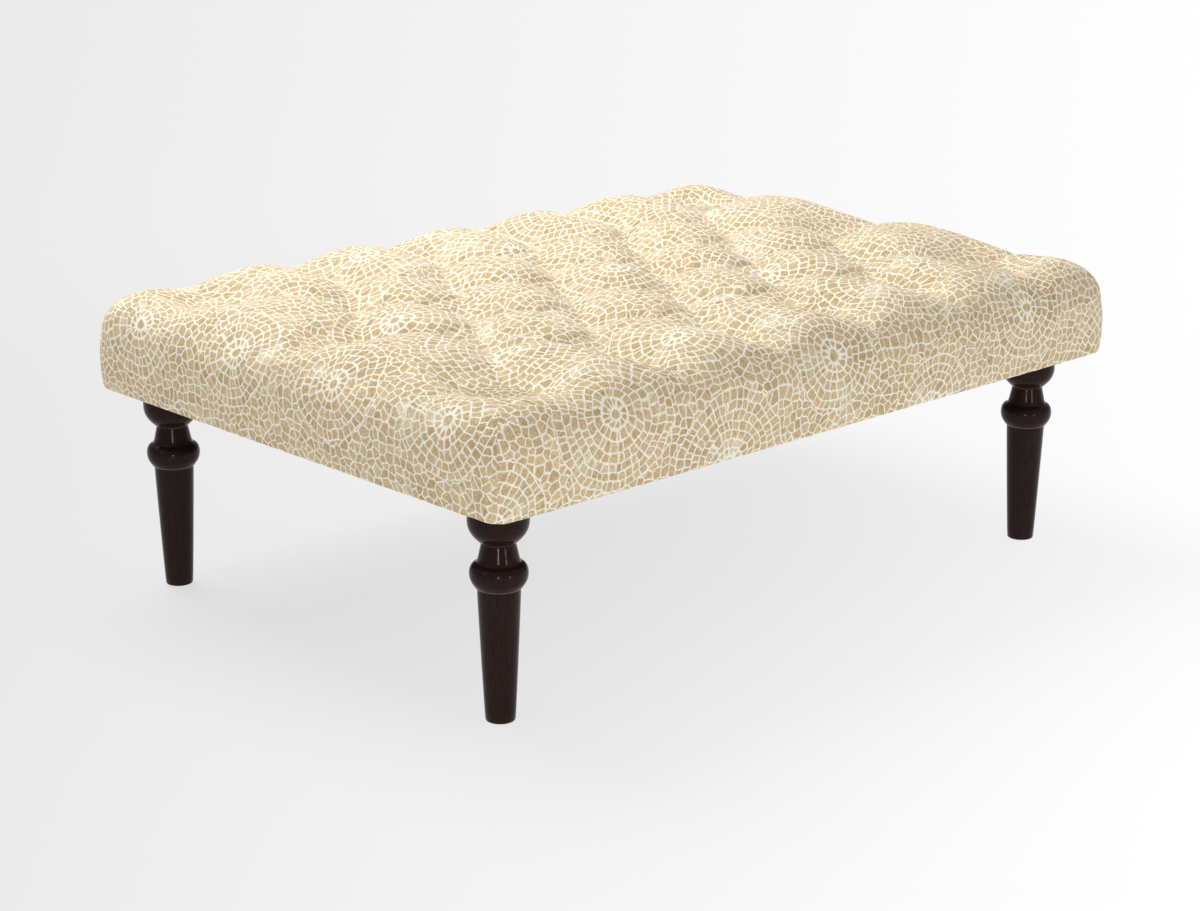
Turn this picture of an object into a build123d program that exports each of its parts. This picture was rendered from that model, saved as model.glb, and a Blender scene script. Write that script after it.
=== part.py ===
from build123d import *
import math
import os

# A tufted ottoman used as a coffee table. It stands on the floor at z = 0,
# centred on the origin, with its long side along x.

# Upholstered top, outside
cushion_length = 1222.0
cushion_width = 868.0
crest_height = 449.0
cushion_depth = 149.0
plan_corner_radius = 58.0
side_draw = 6.0
shoulder_reach = 86.0
shoulder_rise = 75.0
shoulder_power = 2.15
top_crown = 1.0

# Tufts: rows along x, every other row one tuft shorter
row_count = 5
long_row_tufts = 6
tuft_margin = 154.0
pit_depth = 24.0
fold_share = 0.72
crease_power = 1.0
fold_run_out = 110.0
pillow_radius = 420.0

# Where the lofts' sections and their points lie
end_station_shares = (0.82, 0.6, 0.4, 0.22, 0.09, 0.02, 0.002)
shoulder_height_shares = (0.38, 0.72, 0.92)

# Soft layers, the foam's margin taken from the frame
fabric_thickness = 1.5
pit_lining = 7.5
turned_edge_thickness = 1.2
turned_edge_width = 36.0
side_padding = 12.0
core_height = 24.0
core_setback = 14.0
core_edge_bevel = 12.0
foam_margin = 10.0
foam_corner_radius = 48.0
foam_bevel = 34.0
soft_clearance = 0.3

# Hard frame
deck_thickness = 12.0
rail_thickness = 22.0
rail_height = 68.0
cross_rail_height = 52.0
frame_corner_radius = 20.0
block_side = 130.0
block_thickness = 38.0

# Tuft ties
slot_length = 14.0
slot_width = 6.0
tie_width = 3.0
tie_thickness = 1.4
toggle_length = 30.0
toggle_width = 9.0
toggle_thickness = 6.0

# Legs, their shapes placed by how far below the cushion they lie
leg_setback_x = 81.0
leg_setback_y = 78.0
foot_radius = 19.0
foot_chamfer = 1.5
ring_steps = 3
ball_steps = 4
shin_top_drop = 114.0
shin_top_radius = 27.6
shin_swell = 0.4
ring_top_drop = 84.0
ring_radius = 37.7
neck_radius = 27.6
neck_top_drop = 54.5
neck_top_radius = 21.8
neck_hollow = 0.5
ball_middle_drop = 26.5
ball_radius = 39.8
leg_top_radius = 26.0

# Leg fixings
glide_radius = 12.0
glide_thickness = 2.0
bolt_radius = 4.0
bolt_in_leg = 58.0
bolt_past_nut = 6.0
nut_plate_side = 32.0
nut_plate_thickness = 4.0
fit_clearance = 0.1

# Dust cover
dust_cover_thickness = 0.8
dust_cover_setback = 12.0
leg_hole_clearance = 4.0

# Levels and half sizes that follow
leg_top = crest_height - cushion_depth
leg_length = leg_top - glide_thickness
fabric_base = leg_top - turned_edge_thickness
rail_top = leg_top + rail_height
deck_top = rail_top + deck_thickness
half_length = cushion_length / 2
half_width = cushion_width / 2
side_line_height = crest_height - shoulder_rise
cavity_top = crest_height - pit_depth - pit_lining
leg_x = half_length - leg_setback_x
leg_y = half_width - leg_setback_y
frame_x = half_length - side_draw - fabric_thickness - side_padding
frame_y = half_width - side_draw - fabric_thickness - side_padding
inside_x = frame_x - rail_thickness
inside_y = frame_y - rail_thickness

# The diamond grid of the tufts
column_step = (half_length - tuft_margin) / (long_row_tufts - 1)
row_step = 2 * (half_width - tuft_margin) / (row_count - 1)
tuft_reach_x = half_length - tuft_margin
tuft_reach_y = half_width - tuft_margin
cut_reach = 2 * cushion_length


def tuft_places():
    """The centres of all the tufts, row by row."""
    places = []
    for row in range(row_count):
        shorter = row % 2
        count = long_row_tufts - shorter
        for place in range(count):
            x = (2 * place - (count - 1)) * column_step
            places.append((x, row * row_step - tuft_reach_y))
    return places


def tuft_share(x, y):
    """How deep the cloth is drawn down at a place: 1 in a pit, 0 on a crest."""
    x = min(max(x, -tuft_reach_x), tuft_reach_x) + tuft_reach_x
    y = min(max(y, -tuft_reach_y), tuft_reach_y) + tuft_reach_y
    across = x / (2 * column_step)
    along = y / (2 * row_step)
    first = 1 - abs(math.sin(math.pi * (across + along))) ** crease_power
    second = 1 - abs(math.sin(math.pi * (across - along))) ** crease_power
    pit = first * second
    return pit + fold_share * (first + second - 2 * pit)


class CushionForm:
    """The cushion's outside, as a loft along x through sections of arcs."""

    def __init__(self):
        self.length = half_length
        self.width = half_width
        self.corner = plan_corner_radius
        self.reach = shoulder_reach
        self.rise = shoulder_rise
        self.side_radius = (side_line_height - fabric_base) ** 2 / (2 * side_draw)
        self.lowest = fabric_base - side_draw

    def rise_at(self, edge):
        """Height of the shoulder over the side line, edge inside the outline."""
        left_share = 1 - min(edge / self.reach, 1)
        return self.rise * (1 - left_share**shoulder_power) ** (1 / shoulder_power)

    def edge_at(self, height_share):
        """How far inside the outline the shoulder has risen by a share."""
        left_share = (1 - height_share**shoulder_power) ** (1 / shoulder_power)
        return self.reach * (1 - left_share)

    def outline_y(self, x, edge):
        """Half width of the rounded outline at x, drawn in by edge."""
        past_corner = abs(x) - (self.length - self.corner)
        if past_corner <= 0:
            return self.width - edge
        inner = (self.corner - edge) ** 2 - past_corner**2
        return self.width - self.corner + math.sqrt(max(inner, 0))

    def top_at(self, x, y, edge):
        """Height of the cloth over a place of the top."""
        height = side_line_height + self.rise_at(edge)
        fade = min(edge / fold_run_out, 1)
        fade = fade * fade * (3 - 2 * fade)
        doming = (1 - (x / half_length) ** 2) * (1 - (y / half_width) ** 2)
        return height + fade * (top_crown * doming - pit_depth * tuft_share(x, y))

    def side_points(self, x):
        """Section points at one side, from the bottom to the side line."""
        end_distance = self.length - abs(x)
        drop = math.sqrt(2 * self.side_radius * end_distance)
        drop = min(drop, side_line_height - self.lowest)
        points = []
        for share in (1, 1 / 2, 0):
            draw = (drop * share) ** 2 / (2 * self.side_radius)
            points.append((self.outline_y(x, draw), side_line_height - drop * share))
        return points

    def shoulder_points(self, x):
        """Section points over the shoulder, from the side line to the top."""
        full = min(self.reach, self.length - abs(x))
        full_share = self.rise_at(full) / self.rise
        edges = [self.edge_at(share * full_share) for share in shoulder_height_shares]
        points = []
        for edge in edges + [full]:
            y = self.outline_y(x, edge)
            points.append((y, self.top_at(x, y, edge)))
        return points

    def pillow_points(self, x, start):
        """Section points from the shoulder to the middle, each arc a swell."""
        end_distance = self.length - abs(x)
        swell_share = min(end_distance / tuft_margin, 1)
        points = [start]
        for step in range(row_count - 1, -1, -1):
            y = step * row_step / 2
            y_before, z_before = points[-1]
            z = self.top_at(x, y, min(end_distance, self.width - y))
            chord = y_before - y
            swell = swell_share * chord**2 / (8 * pillow_radius)
            points.append(((y_before + y) / 2, (z_before + z) / 2 + swell))
            points.append((y, z))
        return points[1:]

    def section(self, x):
        """The closed outline at x, of arcs through every second point."""
        points = self.side_points(x) + self.shoulder_points(x)
        points += self.pillow_points(x, points[-1])
        mirrored = [(-y, z) for y, z in reversed(points[:-1])]
        chain = [Vector(x, y, z) for y, z in points + mirrored]
        edges = []
        for start, middle, end in zip(chain[:-2:2], chain[1:-1:2], chain[2::2]):
            chord = end - start
            bow = (middle - start).cross(chord).length / chord.length
            if bow < soft_clearance / 10:
                edges.append(Edge.make_line(start, end))
            else:
                edges.append(Edge.make_three_point_arc(start, middle, end))
        edges.append(Edge.make_line(chain[-1], chain[0]))
        return Wire(edges)

    def stations(self):
        """Places of the sections along x, from the middle to the end and mirrored."""
        ends = [self.length - self.reach * share for share in end_station_shares]
        step_count = 2 * (long_row_tufts - 1)
        half = [step * column_step / 2 for step in range(step_count + 1)]
        half.append(self.length - (tuft_margin + self.reach) / 2)
        half += ends
        return [-x for x in reversed(half[1:])] + half

    def solid(self):
        """The form, cut level at the underside."""
        sections = [self.section(x) for x in self.stations()]
        form = Solid.make_loft(sections, ruled=True)
        below = Pos(0, 0, fabric_base) * tall_box(cut_reach, cut_reach, -cut_reach)
        return Part() + form - below


def tall_box(length, width, height):
    """A box centred on the z axis that rises, or hangs, from z = 0."""
    side = Align.MIN if height > 0 else Align.MAX
    return Box(length, width, abs(height), align=(Align.CENTER, Align.CENTER, side))


def tall_cylinder(radius, height):
    """A cylinder on the z axis that rises from z = 0."""
    return Cylinder(radius, height, align=(Align.CENTER, Align.CENTER, Align.MIN))


def at_each(places, height, piece):
    """Copies of a piece at each place, at one height."""
    return [Pos(x, y, height) * piece for x, y in places]


def frame_slab(margin, height, corner_radius=frame_corner_radius):
    """The frame's outline with rounded corners, all widened by margin."""
    slab = tall_box(2 * (frame_x + margin), 2 * (frame_y + margin), height)
    return fillet(slab.edges().filter_by(Axis.Z), corner_radius + margin)


def leg_places():
    return [(x, y) for y in (-leg_y, leg_y) for x in (-leg_x, leg_x)]


def group(pieces):
    """Separate solids kept together in one node."""
    return Compound(children=list(pieces))


def save(name, shape):
    export_step(shape, os.path.join("parts", name + ".step"))


def foam_form(margin, top):
    """The foam's outside over the frame: rounded corners and bevelled upper edges."""
    slab = frame_slab(foam_margin + margin, top - leg_top, foam_corner_radius - foam_margin)
    upper_edges = slab.edges().group_by(Axis.Z)[-1]
    return Pos(0, 0, leg_top) * chamfer(upper_edges, foam_bevel)


def make_fabric_cover():
    """Fabric, one with the wadding it is quilted to, its edge turned in below."""
    opening_x = 2 * (half_length - side_draw - turned_edge_width)
    opening_y = 2 * (half_width - side_draw - turned_edge_width)
    opening = Pos(0, 0, leg_top) * tall_box(opening_x, opening_y, -rail_height)
    return CushionForm().solid() - foam_form(soft_clearance, cavity_top) - opening


def make_core_foam():
    """Firm slab on the deck, its upper edges rounded, with a slot for each tie."""
    length = 2 * (frame_x - core_setback)
    width = 2 * (frame_y - core_setback)
    slab = Pos(0, 0, deck_top) * tall_box(length, width, core_height)
    slab = chamfer(slab.edges().group_by(Axis.Z)[-1], core_edge_bevel)
    tie_slot = tall_box(slot_width, slot_width, cut_reach)
    return slab - at_each(tuft_places(), 0, tie_slot)


def make_wrap_foam():
    """Soft foam over the firm slab and down the outside of the rails."""
    pad = foam_form(0, cavity_top - soft_clearance)
    frame_space = Pos(0, 0, deck_top) * frame_slab(soft_clearance, -cut_reach)
    length = 2 * (frame_x - core_setback + soft_clearance)
    width = 2 * (frame_y - core_setback + soft_clearance)
    slab_space = Pos(0, 0, deck_top) * tall_box(length, width, core_height + soft_clearance)
    slab_space = chamfer(slab_space.edges().group_by(Axis.Z)[-1], core_edge_bevel)
    tie_slot = tall_box(slot_width, slot_width, cut_reach)
    return pad - frame_space - slab_space - at_each(tuft_places(), 0, tie_slot)


def make_deck_panel():
    """Board over the rails, with a slot under each tuft."""
    panel = Pos(0, 0, rail_top) * frame_slab(0, deck_thickness)
    return panel - at_each(tuft_places(), 0, tall_box(slot_length, slot_width, cut_reach))


def make_ties():
    """The twine of each tuft, from its pit to the toggle that holds it."""
    length = cavity_top - rail_top - soft_clearance
    return at_each(tuft_places(), rail_top, tall_box(tie_thickness, tie_width, length))


def make_toggles():
    """Short wooden bars under the deck that the twines are tied round."""
    toggle = tall_box(toggle_length, toggle_width, -toggle_thickness)
    return at_each(tuft_places(), rail_top, toggle)


def make_long_rail(side):
    """Rail along a long side, its ends rounded to the frame's corners."""
    y = side * (frame_y - rail_thickness / 2)
    span = Pos(0, y, 0) * tall_box(2 * frame_x, rail_thickness, rail_height)
    return Pos(0, 0, leg_top) * (span & frame_slab(0, rail_height))


def make_end_rail(side):
    x = side * (frame_x - rail_thickness / 2)
    return Pos(x, 0, leg_top) * tall_box(rail_thickness, 2 * inside_y, rail_height)


def make_cross_rail(side):
    """Rail under the deck, between two columns of tufts."""
    x = side * column_step * (long_row_tufts - 1) / 2
    return Pos(x, 0, rail_top) * tall_box(rail_thickness, 2 * inside_y, -cross_rail_height)


def make_corner_block(side_x, side_y):
    """Three-cornered block glued between two rails, bored for the leg's bolt."""
    corner = (side_x * inside_x, side_y * inside_y)
    along = (side_x * (inside_x - block_side), side_y * inside_y)
    across = (side_x * inside_x, side_y * (inside_y - block_side))
    outline = make_face(Polyline(corner, along, across, close=True))
    block = Pos(0, 0, leg_top) * extrude(outline, block_thickness, dir=(0, 0, 1))
    bore = tall_cylinder(bolt_radius + fit_clearance, block_thickness)
    return block - Pos(side_x * leg_x, side_y * leg_y, leg_top) * bore


def cut_up(curve, steps):
    """Points that divide a curve evenly."""
    return [curve @ (step / steps) for step in range(steps + 1)]


def bowed(start, end, bow):
    """A line of the leg's outline that bows outwards."""
    middle = ((start[0] + end[0]) / 2 + bow, (start[1] + end[1]) / 2)
    return Bezier(start, middle, end)


def make_leg():
    """Turned leg: tapered shin, ring, waisted neck and ball."""
    foot = [(0, 0), (foot_radius - foot_chamfer, 0), (foot_radius, foot_chamfer)]
    shin_top = (shin_top_radius, leg_length - shin_top_drop)
    ring_top = (neck_radius, leg_length - ring_top_drop)
    ring_middle = (ring_radius, (shin_top[1] + ring_top[1]) / 2)
    ring = cut_up(ThreePointArc(shin_top, ring_middle, ring_top), ring_steps)
    neck_top = (neck_top_radius, leg_length - neck_top_drop)
    ball_middle = (ball_radius, leg_length - ball_middle_drop)
    ball = cut_up(ThreePointArc(neck_top, ball_middle, (leg_top_radius, leg_length)), ball_steps)
    shin = bowed(foot[-1], shin_top, shin_swell)
    neck = bowed(ring_top, neck_top, -neck_hollow)
    upper_end = Polyline(*ball, (0, leg_length), foot[0])
    profile = make_face([Polyline(*foot), shin, Polyline(*ring), neck, upper_end])
    leg = revolve(Plane.XZ * profile, Axis.Z)
    bolt_bore = tall_cylinder(bolt_radius + fit_clearance, bolt_in_leg)
    return leg - Pos(0, 0, leg_length - bolt_in_leg) * bolt_bore


def make_glide():
    """Plastic disc under the foot."""
    return tall_cylinder(glide_radius, glide_thickness)


def make_hanger_bolt():
    nut_top = leg_top + block_thickness + nut_plate_thickness
    bottom = leg_top - bolt_in_leg + fit_clearance
    return Pos(0, 0, bottom) * tall_cylinder(bolt_radius, nut_top + bolt_past_nut - bottom)


def make_plate_nut():
    """Square steel plate on top of the block that the bolt is screwed through."""
    plate = tall_box(nut_plate_side, nut_plate_side, nut_plate_thickness)
    return plate - tall_cylinder(bolt_radius + fit_clearance, nut_plate_thickness)


def make_dust_cover():
    """Thin cloth under the frame, over the fabric's turned edge, cut out at the legs."""
    length = 2 * (half_length - side_draw - dust_cover_setback)
    width = 2 * (half_width - side_draw - dust_cover_setback)
    sheet = Pos(0, 0, fabric_base) * tall_box(length, width, -dust_cover_thickness)
    leg_hole = tall_cylinder(leg_top_radius + leg_hole_clearance, leg_top)
    return sheet - at_each(leg_places(), 0, leg_hole)


os.makedirs("parts", exist_ok=True)

save("fabric_cover", make_fabric_cover())
save("wrap_foam", make_wrap_foam())
save("core_foam", make_core_foam())
save("deck_panel", make_deck_panel())
save("tuft_ties", group(make_ties()))
save("tie_toggles", group(make_toggles()))
save("front_rail", make_long_rail(-1))
save("back_rail", make_long_rail(1))
save("left_rail", make_end_rail(-1))
save("right_rail", make_end_rail(1))
save("left_cross_rail", make_cross_rail(-1))
save("right_cross_rail", make_cross_rail(1))
for end, side_x in (("left", -1), ("right", 1)):
    for face, side_y in (("front", -1), ("back", 1)):
        place = face + "_" + end
        save(place + "_corner_block", make_corner_block(side_x, side_y))
save("hanger_bolts", group(at_each(leg_places(), 0, make_hanger_bolt())))
save("plate_nuts", group(at_each(leg_places(), leg_top + block_thickness, make_plate_nut())))
save("legs", group(at_each(leg_places(), glide_thickness, make_leg())))
save("glides", group(at_each(leg_places(), 0, make_glide())))
save("dust_cover", make_dust_cover())
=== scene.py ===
import math

import bpy
import numpy as np
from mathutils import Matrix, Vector


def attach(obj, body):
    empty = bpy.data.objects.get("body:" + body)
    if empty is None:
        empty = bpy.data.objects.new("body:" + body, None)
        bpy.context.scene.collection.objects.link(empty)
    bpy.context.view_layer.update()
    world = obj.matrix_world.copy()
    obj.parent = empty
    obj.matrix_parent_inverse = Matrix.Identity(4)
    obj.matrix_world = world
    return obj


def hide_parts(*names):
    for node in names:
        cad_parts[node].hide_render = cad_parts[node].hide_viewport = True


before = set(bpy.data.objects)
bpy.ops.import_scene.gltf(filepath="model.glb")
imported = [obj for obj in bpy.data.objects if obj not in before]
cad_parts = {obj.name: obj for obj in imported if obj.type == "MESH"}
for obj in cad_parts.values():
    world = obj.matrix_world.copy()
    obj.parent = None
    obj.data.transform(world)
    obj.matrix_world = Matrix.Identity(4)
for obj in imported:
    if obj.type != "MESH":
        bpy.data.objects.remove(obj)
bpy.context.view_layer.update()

# Top of the ottoman, in metres
HALF_LENGTH = 0.611
HALF_WIDTH = 0.434
CREST = 0.449
CROWN = 0.001
UNDERSIDE = 0.2988
SIDE_DRAW = 0.006
EDGE_ROUND = 0.0035
SHOULDER_IN = 0.086
SHOULDER_UP = 0.075
SHOULDER_POWER = 2.03
SIDE_LINE = CREST - SHOULDER_UP

# Corners: radii for laying out points, the plan's powers high up and at the bottom, the dome and the crease
CORNER = 0.031
INNER_CORNER = 0.026
TURNED_CORNER = 0.058
CORNER_POWER = 4.3
LOW_CORNER_POWER = 8.5
CORNER_DOME = 0.010
DOME_INSET = 0.072
DOME_REACH = 0.043
CREASE_DEPTH = 0.0019
CREASE_RIDGE = 0.0004
CREASE_TOP = SIDE_LINE + 0.012
CREASE_FADE = 0.045

# Tufts: half the distance along a row, the distance between rows, and the outermost ones
TUFT_STEP = 0.0914
ROW_STEP = 0.140
TUFT_REACH_X = 0.457
TUFT_REACH_Y = 0.280
PIT_DEPTH = 0.035
FOLD_SHARE = 0.60
CREASE_POWER = 0.92
FADE_TO = 0.110

# Hand work: a fuller front, a back that is lower between its ends, and the pull of the staples, each with
# the distances over which it fades in
FRONT_FULLER = 0.012
FRONT_FADE = (0.20, 0.43)
BACK_LOWER = 0.0035
BACK_FADE = (0.20, 0.38)
LEFT_FADE = (-0.56, -0.42)
RIGHT_FADE = (-0.56, -0.36)
PUCKER = 0.0007
PUCKER_TOP = UNDERSIDE + 0.035
PUCKER_FADE = 0.033

# Settling: how far the cloth may swell, in how many frames, and where it is held: by the share of a fold, by
# the distance inside the outline, and by height
MOST_SWELL = 0.006
SETTLE_FRAMES = 20
HELD_FOLD_SHARES = (0.35, 0.97)
HELD_INWARD = (0.05, 0.13)
HELD_HEIGHTS = (SIDE_LINE - 0.02, SIDE_LINE + 0.05)

# Points of the cloth along a long and a short side, rings over the shoulder, rings down the side, and the
# length over which the cloth coordinates even out
ALONG = 148
ACROSS = 104
SHOULDER_RINGS = 16
SIDE_RINGS = 9
PERIMETER = 2 * (ALONG + ACROSS)
CLOTH_EASE = 0.06

# Lower edge, then the turned-in cloth and the hollow over the foam: inset and height
ROUNDED_UNDER = [(0.0068, 0.2996), (0.0078, 0.2990), (0.0096, UNDERSIDE), (0.0120, UNDERSIDE)]
HOLLOW = [(0.0420, UNDERSIDE), (0.0420, 0.2999), (0.0092, 0.2999), (0.0092, 0.3835), (0.0432, 0.4175)]


def smooth(value, low, high):
    """Smooth step: 0 below low, 1 above high, and 3t2 - 2t3 between them."""
    t = np.clip((value - low) / (high - low), 0, 1)
    return t * t * (3 - 2 * t)


def shoulder_share(x, y, power=CORNER_POWER):
    """1 on the outline and 0 past the shoulder: both sides' shares, added as powers at the corners."""
    beside = np.clip(1 - (HALF_LENGTH - np.abs(x)) / SHOULDER_IN, 0, None)
    before = np.clip(1 - (HALF_WIDTH - np.abs(y)) / SHOULDER_IN, 0, None)
    return (beside**power + before**power) ** (1 / power)


def inward(x, y):
    """Distance inside the outline of the plan, 0 on it."""
    straight = np.minimum(HALF_LENGTH - np.abs(x), HALF_WIDTH - np.abs(y))
    rounded = SHOULDER_IN * np.clip(1 - shoulder_share(x, y), 0, None)
    return np.where(straight > SHOULDER_IN, straight, rounded)


def fold_share(x, y):
    """1 in a pit, 0 on a crest: powers of sines across both sets of diamond lines."""
    x = np.clip(x, -TUFT_REACH_X, TUFT_REACH_X) + TUFT_REACH_X
    y = np.clip(y, -TUFT_REACH_Y, TUFT_REACH_Y) + TUFT_REACH_Y
    across = x / (2 * TUFT_STEP)
    along = y / (2 * ROW_STEP)
    first = 1 - np.abs(np.sin(np.pi * (across + along))) ** CREASE_POWER
    second = 1 - np.abs(np.sin(np.pi * (across - along))) ** CREASE_POWER
    pit = first * second
    return pit + FOLD_SHARE * (first + second - 2 * pit)


def top_height(x, y):
    """Superellipse shoulder over the side line, plus the crown and the corners' domes, less the folds.

    The crown is a product of two parabolas, and a dome is a bell curve of the distance from its middle.
    """
    left = np.clip(shoulder_share(x, y), 0, 1)
    rise = SHOULDER_UP * (1 - left**SHOULDER_POWER) ** (1 / SHOULDER_POWER)
    crown = CROWN * (1 - (x / HALF_LENGTH) ** 2) * (1 - (y / HALF_WIDTH) ** 2)
    off_dome = np.hypot(np.abs(x) - (HALF_LENGTH - DOME_INSET), np.abs(y) - (HALF_WIDTH - DOME_INSET))
    dome = CORNER_DOME * np.exp(-((off_dome / DOME_REACH) ** 2))
    folds = PIT_DEPTH * fold_share(x, y) * smooth(inward(x, y), 0, FADE_TO)
    return SIDE_LINE + rise + crown + dome - folds


def run_of(half_along, half_off, radius, count):
    """One side of a rounded rectangle, from corner middle to corner middle.

    Points lie evenly along an eighth of a circle, a straight and an eighth. Gives the
    place along the side, the place outwards, and the length along the side from its middle.
    """
    bend = radius * math.pi / 4
    straight = 2 * (half_along - radius)
    length = straight + 2 * bend
    run = np.linspace(0, length, count + 1)
    start = np.clip((bend - run) / radius, 0, math.pi / 4)
    finish = np.clip((run - bend - straight) / radius, 0, math.pi / 4)
    angle = finish - start
    flat = np.clip(run - bend, 0, straight) - straight / 2
    along = flat + radius * np.sin(angle)
    off = half_off - radius + radius * np.cos(angle)
    return along, off, run - length / 2


def turn(side, along, off):
    """From a side's own along and outward places to x and y: front, right, back, left."""
    return [(along, -off), (off, along), (-along, off), (-off, -along)][side]


def ring(inset, radius, power=CORNER_POWER):
    """Closed ring of points round the plan, from the front left corner's middle."""
    xs = []
    ys = []
    for side in range(4):
        half_along = (HALF_LENGTH, HALF_WIDTH)[side % 2] - inset
        half_off = (HALF_WIDTH, HALF_LENGTH)[side % 2] - inset
        along, off, _ = run_of(half_along, half_off, radius, (ALONG, ACROSS)[side % 2])
        x, y = turn(side, along[:-1], off[:-1])
        xs.append(x)
        ys.append(y)
    return draw_to_outline(np.concatenate(xs), np.concatenate(ys), inset, power)


def draw_to_outline(x, y, inset, power):
    """Moves a ring's corners along lines from the shoulder's inner corner until they lie at the inset."""
    start_x, start_y = HALF_LENGTH - SHOULDER_IN, HALF_WIDTH - SHOULDER_IN
    over_x, over_y = np.maximum(np.abs(x) - start_x, 0), np.maximum(np.abs(y) - start_y, 0)
    share = np.maximum(shoulder_share(x, y, power), 1e-6)
    reach = 1 - inset / SHOULDER_IN
    both = (over_x > 0) & (over_y > 0)
    scale = np.where(both, 1 + (reach / share - 1) * smooth(reach, 0.05, 0.5), 1)
    new_x = np.minimum(np.abs(x), start_x) + over_x * scale
    new_y = np.minimum(np.abs(y), start_y) + over_y * scale
    return np.sign(x) * new_x, np.sign(y) * new_y


def patch(ring_x, ring_y):
    """Coons patch that fills a ring with a grid of rows from front to back."""
    loop = np.stack([ring_x, ring_y], -1)
    loop = np.vstack([loop, loop[:1]])
    front = loop[: ALONG + 1]
    right = loop[ALONG : ALONG + ACROSS + 1]
    back = loop[ALONG + ACROSS : 2 * ALONG + ACROSS + 1][::-1]
    left = loop[2 * ALONG + ACROSS :][::-1]
    u = np.linspace(0, 1, ALONG + 1)[None, :, None]
    v = np.linspace(0, 1, ACROSS + 1)[:, None, None]
    sides = (1 - v) * front[None] + v * back[None] + (1 - u) * left[:, None] + u * right[:, None]
    corners = (1 - v) * ((1 - u) * front[0] + u * front[-1]) + v * ((1 - u) * back[0] + u * back[-1])
    return sides - corners


def patch_rim():
    """The patch's rim as indices of its rows and columns, in the order of the ring."""
    along = np.arange(ALONG)
    across = np.arange(ACROSS)
    rows = np.concatenate([0 * along, across, 0 * along + ACROSS, ACROSS - across])
    columns = np.concatenate([along, 0 * across + ALONG, ALONG - along, 0 * across])
    return rows * (ALONG + 1) + columns


def outer_rings():
    """Insets, corner radii and heights of the rings from the shoulder to the underside.

    A shoulder ring has no height of its own, because its points follow the top.
    """
    turns = np.linspace(math.pi / 2, 0, SHOULDER_RINGS)
    insets = SHOULDER_IN * (1 - np.cos(turns) ** (2 / SHOULDER_POWER))
    radii = CORNER - (CORNER - INNER_CORNER) * insets / SHOULDER_IN
    side_z = np.linspace(SIDE_LINE, UNDERSIDE + EDGE_ROUND, SIDE_RINGS + 1)[1:]
    side_inset = SIDE_DRAW * ((SIDE_LINE - side_z) / (SIDE_LINE - UNDERSIDE)) ** 2
    under = np.array(ROUNDED_UNDER)
    side_inset = np.concatenate([side_inset, under[:, 0]])
    heights = np.concatenate([np.full(SHOULDER_RINGS, np.nan), side_z, under[:, 1]])
    return np.concatenate([insets, side_inset]), np.concatenate([radii, CORNER - side_inset]), heights


def quads_between(inner, outer):
    """Faces between two closed rings of indices, the outer one further from the top."""
    return np.stack([inner, outer, np.roll(outer, -1), np.roll(inner, -1)], -1)


def cloth_sheet():
    """Places, faces and cloth coordinates of the outside, from the top's middle to the bottom edge.

    The top is a Coons patch at the heights of top_height. Each ring below follows the rounded plan.
    Cloth coordinates are the plan on the top, and run straight down each side past the patch's rim.
    """
    insets, radii, heights = outer_rings()
    rim_x, rim_y = ring(insets[0], radii[0])
    top = patch(rim_x, rim_y).reshape(-1, 2)
    places = [np.column_stack([top, top_height(top[:, 0], top[:, 1])])]
    rings = [patch_rim()]
    for inset, radius, height in list(zip(insets, radii, heights))[1:]:
        on_top = np.isnan(height)
        sharper = 0.0 if on_top else float(smooth(SIDE_LINE - height, -0.02, SIDE_LINE - UNDERSIDE))
        x, y = ring(inset, radius, CORNER_POWER + (LOW_CORNER_POWER - CORNER_POWER) * sharper)
        z = top_height(x, y) if on_top else np.full(PERIMETER, height)
        rings.append(len(top) + PERIMETER * (len(rings) - 1) + np.arange(PERIMETER))
        places.append(np.column_stack([x, y, z]))
    places = np.vstack(places)
    grid = np.arange(len(top)).reshape(ACROSS + 1, ALONG + 1)
    faces = [np.stack([grid[:-1, :-1], grid[:-1, 1:], grid[1:, 1:], grid[1:, :-1]], -1).reshape(-1, 4)]
    cloth = [top[faces[0]]]
    lengths = [0.0]
    for inner, outer in zip(rings, rings[1:]):
        step = places[outer[ALONG // 2]] - places[inner[ALONG // 2]]
        lengths.append(lengths[-1] + float(np.linalg.norm(step)))
        faces.append(quads_between(inner, outer))
    for level in range(len(rings) - 1):
        cloth.append(side_cloth(insets, radii, lengths, level))
    return places + crease_and_pucker(places, rings), np.vstack(faces), np.concatenate(cloth)


def outward(places, corner):
    """Directions straight out of a rounded plan with such corners."""
    straight = np.array([HALF_LENGTH - corner, HALF_WIDTH - corner])
    out = places[:, :2] - np.clip(places[:, :2], -straight, straight)
    return out / np.maximum(np.linalg.norm(out, axis=1, keepdims=True), 1e-9)


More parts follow.
